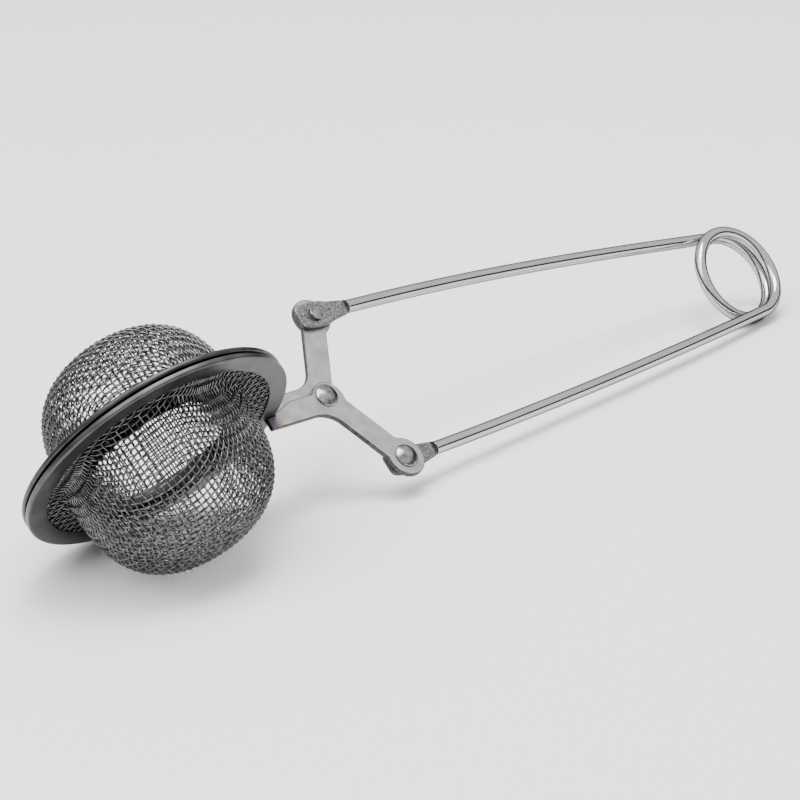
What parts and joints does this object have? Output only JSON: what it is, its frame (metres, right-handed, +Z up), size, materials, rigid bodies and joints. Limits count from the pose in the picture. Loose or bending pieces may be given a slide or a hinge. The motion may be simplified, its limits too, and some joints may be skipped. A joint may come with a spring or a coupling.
{
  "type": "tea infuser",
  "caption": "Squeeze-handled tea infuser: a ball of two woven wire-mesh bowls on crossed pivoting levers, worked by a springy coiled wire handle.",
  "frame": {"origin": "centre of the footprint, on the table it lies on", "axes": "+X from the ball toward the handle's coil, +Z up, +Y across"},
  "size_m": [0.1902, 0.0416, 0.0407],
  "materials": {
    "woven_mesh": "bright drawn wire",
    "rim_steel": "dark satin, rolled edge",
    "lever_steel": "tumbled satin, darker cut edges",
    "rivet_steel": "tumbled",
    "spring_wire": "polished drawn wire, knurled flattened ends"
  },
  "bodies": {
    "lower_leg": {"lower_handle_leg": "spring_wire", "spring_coil": "spring_wire"},
    "upper_leg": {"upper_handle_leg": "spring_wire"},
    "lower_half": {"lower_lever": "lever_steel", "lower_rim": "rim_steel", "lower_mesh_bowl": "woven_mesh", "lower_lug_rivet": "rivet_steel", "centre_rivet": "rivet_steel"},
    "upper_half": {"upper_lever": "lever_steel", "upper_rim": "rim_steel", "upper_mesh_bowl": "woven_mesh", "upper_lug_rivet": "rivet_steel"}
  },
  "joints": [
    {"name": "lower_lug_pivot", "type": "hinge", "parent": "lower_leg", "child": "lower_half", "pos_m": [-0.02427, -0.01128, 0.00648], "axis": [0.0527, -0.6774, 0.7337], "range_deg": [0, 26.4], "stiffness_Nm_per_rad": 0.05, "springref_deg": -34.38},
    {"name": "coil_flex", "type": "hinge", "parent": "lower_leg", "child": "upper_leg", "pos_m": [0.08425, 0.00009, 0.00918], "axis": [0.0527, -0.6774, 0.7337], "range_deg": [0, 4.7]},
    {"name": "upper_lug_pivot", "type": "hinge", "parent": "upper_leg", "child": "upper_half", "pos_m": [-0.02379, 0.01182, 0.02778], "axis": [0.0527, -0.6774, 0.7337], "range_deg": [-24.81, 0]}
  ],
  "couplings": [
    {"joint": "coil_flex", "follows": "lower_lug_pivot", "ratio": 0.176},
    {"joint": "upper_lug_pivot", "follows": "lower_lug_pivot", "ratio": -0.9379}
  ]
}
